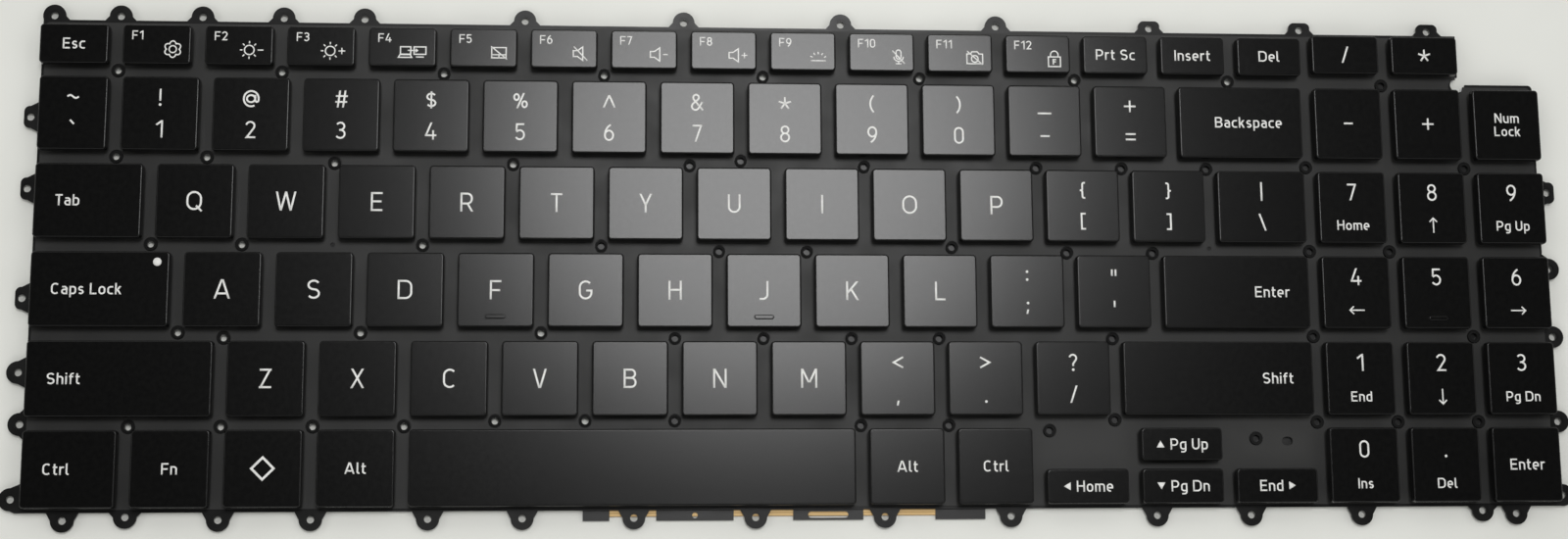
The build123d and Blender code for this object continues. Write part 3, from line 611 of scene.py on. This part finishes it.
# Pictures on the function keys: strokes in millimetres round the picture's middle
speaker = [(-1.6, 0.65), (-0.7, 0.65), (0.45, 1.5), (0.45, -1.5), (-0.7, -0.65), (-1.6, -0.65)]
sunRays = rayPaths(-0.55, 0.0, 1.42, 1.98, range(45, 360, 45))
strokePictures = {
    "f1": {"loops": [scallopPath(0, 0, 1.57, 0.24, 6), circlePath(0, 0, 0.76)]},
    "f2": {"loops": [circlePath(-0.55, 0, 1.02)], "lines": sunRays + [[(1.2, 0), (2.45, 0)]]},
    "f3": {"loops": [circlePath(-0.55, 0, 1.02)],
           "lines": sunRays + [[(1.2, 0), (2.65, 0)], [(1.92, -0.7), (1.92, 0.7)]]},
    "f4": {"loops": [[(-2.55, -0.55), (-0.35, -0.55), (-0.35, 1.1), (-2.55, 1.1)],
                     [(-3.0, -1.25), (-0.1, -1.25), (-0.45, -0.62), (-2.6, -0.62)],
                     [(0.35, -0.55), (2.9, -0.55), (2.9, 1.1), (0.35, 1.1)]],
           "lines": [[(0.75, -1.15), (2.5, -1.15)], [(-1.0, 0.3), (1.1, 0.3)],
                     [(0.7, 0.65), (1.1, 0.3), (0.7, -0.05)]]},
    "f5": {"loops": [[(-1.55, -1.15), (1.55, -1.15), (1.55, 1.15), (-1.55, 1.15)]],
           "lines": [[(-1.55, -0.45), (1.55, -0.45)], [(0, -1.15), (0, -0.45)], [(-1.7, 1.4), (1.75, -1.45)]]},
    "f6": {"loops": [speaker], "lines": [[(-1.5, 1.55), (1.45, -1.55)]]},
    "f7": {"loops": [speaker], "lines": [[(1.15, 0), (2.2, 0)]]},
    "f8": {"loops": [speaker], "lines": [[(1.1, 0), (2.4, 0)], [(1.75, -0.65), (1.75, 0.65)]]},
    "f9": {"lines": [[(-1.62, -1.0), (1.62, -1.0)]] + rayPaths(0, -1.0, 1.45, 2.0, range(30, 151, 30))},
    "f10": {"loops": [np.vstack([roundArc(0, 1.05, 0.55, 0, 180, 9), roundArc(0, 0.1, 0.55, 180, 360, 9)])],
            "lines": [roundArc(0, 0.1, 1.05, 180, 360, 17), [(0, -0.95), (0, -1.5)], [(-0.65, -1.5), (0.65, -1.5)],
                      [(-1.35, 1.45), (1.35, -1.45)]]},
    "f11": {"loops": [[(-1.75, -1.3), (1.75, -1.3), (1.75, 0.9), (0.95, 0.9), (0.6, 1.4), (-0.6, 1.4), (-0.95, 0.9),
                       (-1.75, 0.9)], circlePath(0, -0.2, 0.75)], "lines": [[(-1.7, 1.55), (1.7, -1.5)]]},
    "f12": {"loops": [[(-1.35, -1.75), (1.35, -1.75), (1.35, 0.45), (-1.35, 0.45)]],
            "lines": [np.vstack([[(0.85, 0.5)], roundArc(0, 0.9, 0.85, 0, 180, 17), [(-0.85, 0.5)]])]},
}


def strokePicture(picture, stroke):
    shapes = [ribbon(path, stroke, True) for path in picture.get("loops", [])]
    return joined(shapes + [ribbon(path, stroke) for path in picture.get("lines", [])])


# A thin arrow of three strokes, turned by quarter turns from pointing right
def thinArrow(quarter):
    half, head = legends["arrowLength"] / 2, legends["arrowHead"]
    strokes = [[(-half, 0), (half, 0)], [(half - head, head), (half, 0), (half - head, -head)]]
    points, triangles = joined([ribbon(path, legends["arrowStroke"]) for path in strokes])
    return turned(points, quarter), triangles


# Points turned about the middle by quarter turns to the left
def turned(points, quarter):
    cos, sin = [(1, 0), (0, 1), (-1, 0), (0, -1)][quarter]
    return points @ np.array([[cos, sin], [-sin, cos]])


# A filled triangle that points right, turned by quarter turns
def pointer(quarter):
    reach = legends["pointerSize"] / 2
    tip = legends["pointerShare"] * reach
    points, triangles = filled([(-tip, -reach), (tip, 0), (-tip, reach)])
    return turned(points, quarter), triangles


# Marks for each key, in millimetres from the key's middle
def pairMarks(upper, lower):
    return [setWords(upper, legends["pair"], 0, legends["pairRise"]),
            setWords(lower, legends["pair"], 0, legends["pairDrop"])]


def sideWord(name, words, side):
    reach = keyRects[name][2] / mm / 2 - legends["sideMargin"]
    return [setWords(words, legends["word"], -reach if side == "left" else reach, 0, side)]


def middleWord(words, size="word"):
    return [setWords(words, legends[size], 0, 0)]


def functionMarks(name):
    half = keyRects[name][2] / mm / 2
    label = setWords(name.upper(), legends["functionWord"], legends["functionMargin"] - half,
                     legends["functionRise"], "left")
    points, triangles = strokePicture(strokePictures[name], legends["iconStroke"])
    right = half - legends["iconMargin"] - points[:, 0].max()
    marks = [label, shifted((points, triangles), right, legends["iconDrop"])]
    if name == "f12":
        marks.append(setWords("F", legends["lockLetter"], right, legends["iconDrop"] - legends["lockDrop"]))
    return marks


# A pointer and a word side by side, centred together
def cursorMarks(quarter, words, pointerFirst=True):
    word = lettering(words, legends["word"])
    low, high = word[0][:, 0].min(), word[0][:, 0].max()
    mark = pointer(quarter)
    wide = np.ptp(mark[0][:, 0])
    half = (wide + legends["pointerGap"] + high - low) / 2
    markX, wordX = (-half + wide / 2, half - high) if pointerFirst else (half - wide / 2, -half - low)
    return [shifted(mark, markX, 0), shifted(word, wordX, -legends["word"][0] / 2)]


def padMarks(digit, under):
    marks = [setWords(digit, legends["pair"], 0, legends["padRise"])]
    if isinstance(under, str):
        marks.append(setWords(under, legends["padWord"], 0, legends["padDrop"]))
    elif under is not None:
        marks.append(shifted(thinArrow(under), 0, legends["padDrop"]))
    return marks


def stackedMarks(upper, lower):
    return [setWords(upper, legends["padWord"], 0, legends["stackStep"]),
            setWords(lower, legends["padWord"], 0, -legends["stackStep"])]


def capsMarks():
    x = keyRects["caps_lock"][2] / mm / 2 - legends["dotInset"][0]
    y = keyRects["caps_lock"][3] / mm / 2 - legends["dotInset"][1]
    return sideWord("caps_lock", "Caps Lock", "left") + [filled(circlePath(x, y, legends["dotSize"]))]


def systemMarks():
    reach = legends["systemSize"]
    return [ribbon([(reach, 0), (0, reach), (-reach, 0), (0, -reach)], legends["systemStroke"], True)]


marks = {letter: middleWord(letter.upper(), "letter") for letter in "qwertyuiopasdfghjklzxcvbnm"}
marks.update({name: pairMarks(*pair) for name, pair in {
    "grave": "~`", "1": "!1", "2": "@2", "3": "#3", "4": "$4", "5": "%5", "6": "^6", "7": "&7", "8": "*8", "9": "(9",
    "0": ")0", "minus": "_-", "equals": "+=", "bracket_left": "{[", "bracket_right": "}]", "backslash": "|\\",
    "semicolon": ":;", "quote": "\"'", "comma": "<,", "period": ">.", "slash": "?/"}.items()})
marks.update({name: sideWord(name, words, "left") for name, words in
              {"tab": "Tab", "shift_left": "Shift", "ctrl_left": "Ctrl"}.items()})
marks.update({name: sideWord(name, words, "right") for name, words in
              {"backspace": "Backspace", "enter": "Enter", "shift_right": "Shift"}.items()})
marks.update({name: middleWord(words) for name, words in {
    "esc": "Esc", "print": "Prt Sc", "insert": "Insert", "delete": "Del", "fn": "Fn", "alt_left": "Alt",
    "alt_right": "Alt", "ctrl_right": "Ctrl", "pad_enter": "Enter"}.items()})
marks.update({name: middleWord(words, "pair") for name, words in
              {"divide": "/", "multiply": "*", "subtract": "-", "add": "+"}.items()})
marks.update({f"f{n}": functionMarks(f"f{n}") for n in range(1, 13)})
marks.update({"caps_lock": capsMarks(), "system": systemMarks(), "num_lock": stackedMarks("Num", "Lock"),
              "arrow_left": cursorMarks(2, "Home"), "arrow_up": cursorMarks(1, "Pg Up"),
              "arrow_down": cursorMarks(3, "Pg Dn"), "arrow_right": cursorMarks(0, "End", False)})
marks.update({name: padMarks(*pair) for name, pair in {
    "pad_7": ("7", "Home"), "pad_8": ("8", 1), "pad_9": ("9", "Pg Up"), "pad_4": ("4", 2), "pad_5": ("5", None),
    "pad_6": ("6", 0), "pad_1": ("1", "End"), "pad_2": ("2", 3), "pad_3": ("3", "Pg Dn"), "pad_0": ("0", "Ins"),
    "pad_point": (".", "Del")}.items()})


# Flat marks become closed sheets of ink: a top, a bottom, and walls along every edge that only one triangle uses.
# The top rises a little from the first point to the last, so that each stroke lies on those before it.
def inkSheet(points, triangles):
    count = len(points)
    low = np.column_stack([points, np.full(count, capTop - legends["sunk"] * mm)])
    rise = (legends["thickness"] + np.linspace(0.0, legends["layering"], count)) * mm
    high = low + rise[:, None] * (0, 0, 1)
    starts, ends = triangles.ravel(), np.roll(triangles, -1, 1).ravel()
    rim = ~np.isin(starts * count + ends, ends * count + starts)
    a, b = starts[rim], ends[rim]
    walls = np.vstack([np.stack([a, b, b + count], 1), np.stack([a, b + count, a + count], 1)])
    return np.vstack([low, high]), np.vstack([triangles[:, ::-1], triangles + count, walls])


# The ink of one key: its marks in millimetres, scaled to metres and moved to the key's middle
def keyInk(name):
    x, y = keyRects[name][:2]
    points, triangles = joined(marks[name])
    return inkSheet(points * mm + (x, y), triangles)


for name in movingKeys:
    if name in marks:
        makePiece("legend_" + name, *keyInk(name), "ink", name + "_key")
makePiece("legend_upper_rows", *joined([keyInk(name) for name in upperKeys]), "ink", "chassis")
padKeys = [name for name in keyRects if name.startswith("pad_")]
makePiece("legend_number_pad", *joined([keyInk(name) for name in padKeys]), "ink", "chassis")
print("legends done,", len(marks), "keys")


# Domes, scissor links and wires: copies of their nodes, cut up by key into one piece for each moving key and one for
# the rest, all on the chassis
give = {"floor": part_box("switch_membrane")[1][2], "travel": 0.00125, "capUnder": 0.0037, "barRadius": 0.0003,
        "weld": 1e-6}


# Corner places of a node with doubles merged on a fine grid, and its triangles
def nodeArrays(node):
    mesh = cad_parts[node].data
    mesh.calc_loop_triangles()
    points = np.zeros(len(mesh.vertices) * 3)
    mesh.vertices.foreach_get("co", points)
    triangles = np.zeros(len(mesh.loop_triangles) * 3, np.int64)
    mesh.loop_triangles.foreach_get("vertices", triangles)
    cells, merged = np.unique(np.round(points.reshape(-1, 3) / give["weld"]), axis=0, return_inverse=True)
    triangles = merged.reshape(-1)[triangles].reshape(-1, 3)
    whole = (triangles != np.roll(triangles, -1, 1)).all(1)
    return cells * give["weld"], triangles[whole]


# Only the points that the triangles use, numbered afresh
def ownPoints(points, triangles):
    used, fresh = np.unique(triangles, return_inverse=True)
    return points[used], fresh.reshape(-1, 3)


# Triangles whose middles lie over a moving key become that key's piece, and the rest one piece for the fixed keys,
# each on the chassis
def splitByKey(node, stem, finish):
    points, triangles = nodeArrays(node)
    middles = points[triangles].mean(1)
    left = np.ones(len(triangles), bool)
    for name in movingKeys:
        x, y, width, depth = keyRects[name]
        inside = (np.abs(middles[:, 0] - x) < width / 2) & (np.abs(middles[:, 1] - y) < depth / 2)
        if inside.any():
            piece = makePiece(f"{stem}_{name}", *ownPoints(points, triangles[inside]), finish, "chassis", finish)
            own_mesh(piece)
            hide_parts(node)
        left &= ~inside
    if left.any():
        piece = makePiece(f"{stem}_fixed_keys", *ownPoints(points, triangles[left]), finish, "chassis", finish)
        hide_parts(node)


splitByKey("rubber_domes", "dome", "dome")
splitByKey("scissor_links", "link", "link")
splitByKey("stabiliser_wires", "wire", "wire")
print("domes, links and wires done")


# Floor, light and camera

studio = {"floorSize": 6.0, "floorLevel": -0.00012,
          "floor": {"dark": (0.77, 0.775, 0.735), "light": (0.81, 0.815, 0.775), "roughness": (0.55, 0.7),
                    "specular": 0.25, "patch": 0.05, "grain": 0.0015, "bump": 0.05, "depth": 0.00005}}
floorHalf = studio["floorSize"] / 2
floorPoints = floorHalf * np.array([(-1, -1, 0), (1, -1, 0), (1, 1, 0), (-1, 1, 0)])
floorMesh = bpy.data.meshes.new("floor")
floorMesh.from_pydata((floorPoints + (0, 0, studio["floorLevel"])).tolist(), [], [(0, 1, 2, 3)])
floorMesh.materials.append(grainyFinish("paper", studio["floor"]))
floor = bpy.data.objects.new("floor", floorMesh)
bpy.context.scene.collection.objects.link(floor)

lamps = {
    "overhead": {"place": (0.046, 0.214, 0.886), "aim": (-0.0085, 0.026, 0.004), "size": 0.345, "power": 0.60,
                 "spread": 70},
}


# The turn that points a lamp from its place at its aim: the lean off straight down, then the heading
def aimedTurn(place, aim):
    away = np.array(place) - np.array(aim)
    flat = math.hypot(away[0], away[1])
    return math.atan2(flat, away[2]), 0.0, math.atan2(away[1], away[0]) + math.pi / 2


for name, lamp in lamps.items():
    light = bpy.data.lights.new(name, "AREA")
    light.shape = "DISK"
    light.size = lamp["size"]
    light.energy = lamp["power"]
    light.spread = math.radians(lamp["spread"])
    lampObject = bpy.data.objects.new(name, light)
    lampObject.location = lamp["place"]
    lampObject.rotation_euler = aimedTurn(lamp["place"], lamp["aim"])
    bpy.context.scene.collection.objects.link(lampObject)

# World: dim walls near the floor, a pale band above them and a dim ceiling, by how steeply a direction rises
surround = {"bands": [(0.30, 0.10), (0.42, 0.95), (0.70, 0.95), (0.80, 0.023)], "tint": (1.0, 1.0, 0.98),
            "strength": 1.25}
world = bpy.data.worlds.new("surround")
world.use_nodes = True
bpy.context.scene.world = world
worldTree = world.node_tree
way = worldTree.nodes.new("ShaderNodeTexCoord")
wayParts = worldTree.nodes.new("ShaderNodeSeparateXYZ")
worldTree.links.new(way.outputs["Generated"], wayParts.inputs["Vector"])
bandRamp = worldTree.nodes.new("ShaderNodeValToRGB")
stops = bandRamp.color_ramp.elements
stops.remove(stops[1])
for n, (height, tone) in enumerate(surround["bands"]):
    stop = stops[0] if n == 0 else stops.new(height)
    stop.position = height
    stop.color = (*(tone * part for part in surround["tint"]), 1.0)
worldTree.links.new(wayParts.outputs["Z"], bandRamp.inputs["Fac"])
worldTree.links.new(bandRamp.outputs["Color"], worldTree.nodes["Background"].inputs["Color"])
worldTree.nodes["Background"].inputs["Strength"].default_value = surround["strength"]

view = {"place": (-0.034105, -0.061925, 0.42048), "turn": (8.3065, -3.9543, -0.3756), "lens": 45.0, "sensor": 36.0,
        "clipStart": 0.01}
cameraData = bpy.data.cameras.new("camera")
cameraData.lens = view["lens"]
cameraData.sensor_width = view["sensor"]
cameraData.sensor_fit = "HORIZONTAL"
cameraData.clip_start = view["clipStart"]
camera = bpy.data.objects.new("camera", cameraData)
camera.location = view["place"]
camera.rotation_euler = [math.radians(angle) for angle in view["turn"]]
bpy.context.scene.collection.objects.link(camera)
bpy.context.scene.camera = camera
bpy.context.scene.view_settings.view_transform = "Standard"
print("studio done")
